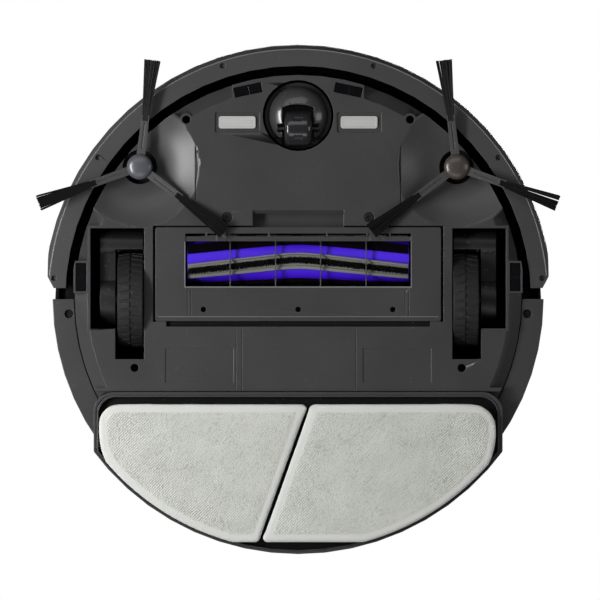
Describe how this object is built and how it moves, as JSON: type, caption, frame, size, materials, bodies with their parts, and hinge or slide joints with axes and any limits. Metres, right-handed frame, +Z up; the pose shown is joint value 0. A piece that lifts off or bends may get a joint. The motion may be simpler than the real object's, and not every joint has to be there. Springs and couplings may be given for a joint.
{
  "type": "robot vacuum",
  "caption": "Round robot vacuum on two sprung drive wheels and a caster, with a chevron main brush, two side brushes, a sprung bumper and a rear mop module.",
  "frame": {"origin": "on the floor under the middle of the robot's overall box", "axes": "+Z up, -Y the driving direction with the bumper, +X the robot's own left"},
  "size_m": [0.3662, 0.356, 0.097],
  "materials": {
    "chassis_plastic": "dark grey moulded plastic with a fine matte grain",
    "shell_plastic": "dark grey satin moulded plastic",
    "cover_plastic": "charcoal satin moulded plastic",
    "black_plastic": "black moulded plastic",
    "gloss_black": "glossy dark tinted plastic",
    "grey_plastic": "mid grey moulded plastic",
    "tank_plastic": "smoky dark plastic",
    "tyre_rubber": "black ribbed rubber tread",
    "brush_bristle": "black nylon bristles",
    "brush_fin": "grey soft rubber blade",
    "brush_core": "violet blue moulded roller",
    "side_brush": "soft grey moulded hub and arms with black bristles",
    "contact_metal": "bright nickel plated contact",
    "steel": "plain steel",
    "circuit_board": "green circuit board",
    "battery_wrap": "blue shrink wrap",
    "mop_cloth": "pale warm grey microfibre cloth",
    "filter_paper": "white pleated filter paper"
  },
  "bodies": {
    "body": {"lower_chassis": "chassis_plastic", "rear_shell": "shell_plastic", "bumper_switch_left": "black_plastic", "bumper_switch_right": "black_plastic", "top_cover": "cover_plastic", "lidar_base": "cover_plastic", "lidar_cap": "cover_plastic", "main_board": "circuit_board", "battery_pack": "battery_wrap", "dust_bin": "tank_plastic", "bin_filter": "filter_paper", "fan_housing": "black_plastic", "water_tank": "tank_plastic", "water_pump": "black_plastic", "brush_guard": "chassis_plastic", "roller_motor": "black_plastic", "mop_frame": "shell_plastic", "charge_contact_left": "contact_metal", "cliff_sensor_front_left": "gloss_black", "cliff_sensor_side_left": "gloss_black", "chassis_screw_left": "steel", "side_brush_motor_left": "steel", "charge_contact_right": "contact_metal", "cliff_sensor_front_right": "gloss_black", "cliff_sensor_side_right": "gloss_black", "chassis_screw_right": "steel", "side_brush_motor_right": "steel"},
    "bumper": {"bumper": "shell_plastic", "bumper_window": "gloss_black"},
    "bin_lid": {"bin_lid": "cover_plastic"},
    "power_button": {"power_button": "grey_plastic"},
    "home_button": {"home_button": "grey_plastic"},
    "tank_release_button": {"tank_release_button": "grey_plastic"},
    "lidar_rotor": {"lidar_rotor": "black_plastic"},
    "caster": {"caster_housing": "grey_plastic", "caster_axle": "steel"},
    "caster_wheel": {"caster_wheel": "gloss_black"},
    "roller": {"roller_core": "brush_core", "roller_fin_1": "brush_fin", "roller_fin_2": "brush_fin", "roller_fin_3": "brush_fin", "roller_bristle_1": "brush_bristle", "roller_bristle_2": "brush_bristle", "roller_bristle_3": "brush_bristle", "roller_sweeper": "brush_bristle"},
    "fan_impeller": {"fan_impeller": "grey_plastic"},
    "suspension_left": {"suspension_arm_left": "black_plastic", "drive_motor_left": "steel"},
    "wheel_left": {"wheel_hub_left": "grey_plastic", "tyre_left": "tyre_rubber"},
    "side_brush_left": {"side_brush_left": "side_brush"},
    "mop_left": {"mop_carrier_left": "black_plastic", "mop_pad_left": "mop_cloth"},
    "suspension_right": {"suspension_arm_right": "black_plastic", "drive_motor_right": "steel"},
    "wheel_right": {"wheel_hub_right": "grey_plastic", "tyre_right": "tyre_rubber"},
    "side_brush_right": {"side_brush_right": "side_brush"},
    "mop_right": {"mop_carrier_right": "black_plastic", "mop_pad_right": "mop_cloth"}
  },
  "joints": [
    {"name": "bumper_push", "type": "slide", "parent": "body", "child": "bumper", "axis": [0, 1, 0], "range_m": [0, 0.003], "stiffness_N_per_m": 300},
    {"name": "lid_hinge", "type": "hinge", "parent": "body", "child": "bin_lid", "pos_m": [0, 0.0106, 0.0782], "axis": [1, 0, 0], "range_deg": [0, 85]},
    {"name": "power_button_press", "type": "slide", "parent": "body", "child": "power_button", "axis": [0, 0, -1], "range_m": [0, 0.0008], "stiffness_N_per_m": 400},
    {"name": "home_button_press", "type": "slide", "parent": "body", "child": "home_button", "axis": [0, 0, -1], "range_m": [0, 0.0008], "stiffness_N_per_m": 400},
    {"name": "tank_release_press", "type": "slide", "parent": "body", "child": "tank_release_button", "axis": [0, -1, 0], "range_m": [0, 0.0015], "stiffness_N_per_m": 400},
    {"name": "lidar_spin", "type": "hinge", "parent": "body", "child": "lidar_rotor", "pos_m": [0, -0.055, 0.085], "axis": [0, 0, 1], "continuous": true},
    {"name": "caster_swivel", "type": "hinge", "parent": "body", "child": "caster", "pos_m": [0, -0.1277, 0.02], "axis": [0, 0, 1], "continuous": true},
    {"name": "caster_roll", "type": "hinge", "parent": "caster", "child": "caster_wheel", "pos_m": [0, -0.1188, 0.0125], "axis": [1, 0, 0], "continuous": true},
    {"name": "roller_spin", "type": "hinge", "parent": "body", "child": "roller", "pos_m": [0, -0.027, 0.026], "axis": [1, 0, 0], "continuous": true},
    {"name": "fan_spin", "type": "hinge", "parent": "body", "child": "fan_impeller", "pos_m": [0.07, 0.048, 0.035], "axis": [0, 0, 1], "continuous": true},
    {"name": "suspension_left_swing", "type": "hinge", "parent": "body", "child": "suspension_left", "pos_m": [0.1363, -0.038, 0.03], "axis": [1, 0, 0], "range_deg": [-18, 0]},
    {"name": "wheel_left_roll", "type": "hinge", "parent": "suspension_left", "child": "wheel_left", "pos_m": [0.117, 0.001, 0.0335], "axis": [1, 0, 0], "continuous": true},
    {"name": "side_brush_left_spin", "type": "hinge", "parent": "body", "child": "side_brush_left", "pos_m": [0.1106, -0.092, 0.012], "axis": [0, 0, 1], "continuous": true},
    {"name": "mop_left_sweep", "type": "slide", "parent": "body", "child": "mop_left", "axis": [-0.3265, 0.9452, 0], "range_m": [-0.0015, 0.0015]},
    {"name": "suspension_right_swing", "type": "hinge", "parent": "body", "child": "suspension_right", "pos_m": [-0.1363, -0.038, 0.03], "axis": [1, 0, 0], "range_deg": [-18, 0]},
    {"name": "wheel_right_roll", "type": "hinge", "parent": "suspension_right", "child": "wheel_right", "pos_m": [-0.117, 0.001, 0.0335], "axis": [1, 0, 0], "continuous": true},
    {"name": "side_brush_right_spin", "type": "hinge", "parent": "body", "child": "side_brush_right", "pos_m": [-0.1106, -0.092, 0.012], "axis": [0, 0, 1], "continuous": true},
    {"name": "mop_right_sweep", "type": "slide", "parent": "body", "child": "mop_right", "axis": [-0.3265, 0.9452, 0], "range_m": [-0.0015, 0.0015]}
  ],
  "couplings": [
    {"joint": "mop_right_sweep", "follows": "mop_left_sweep", "ratio": -1}
  ]
}
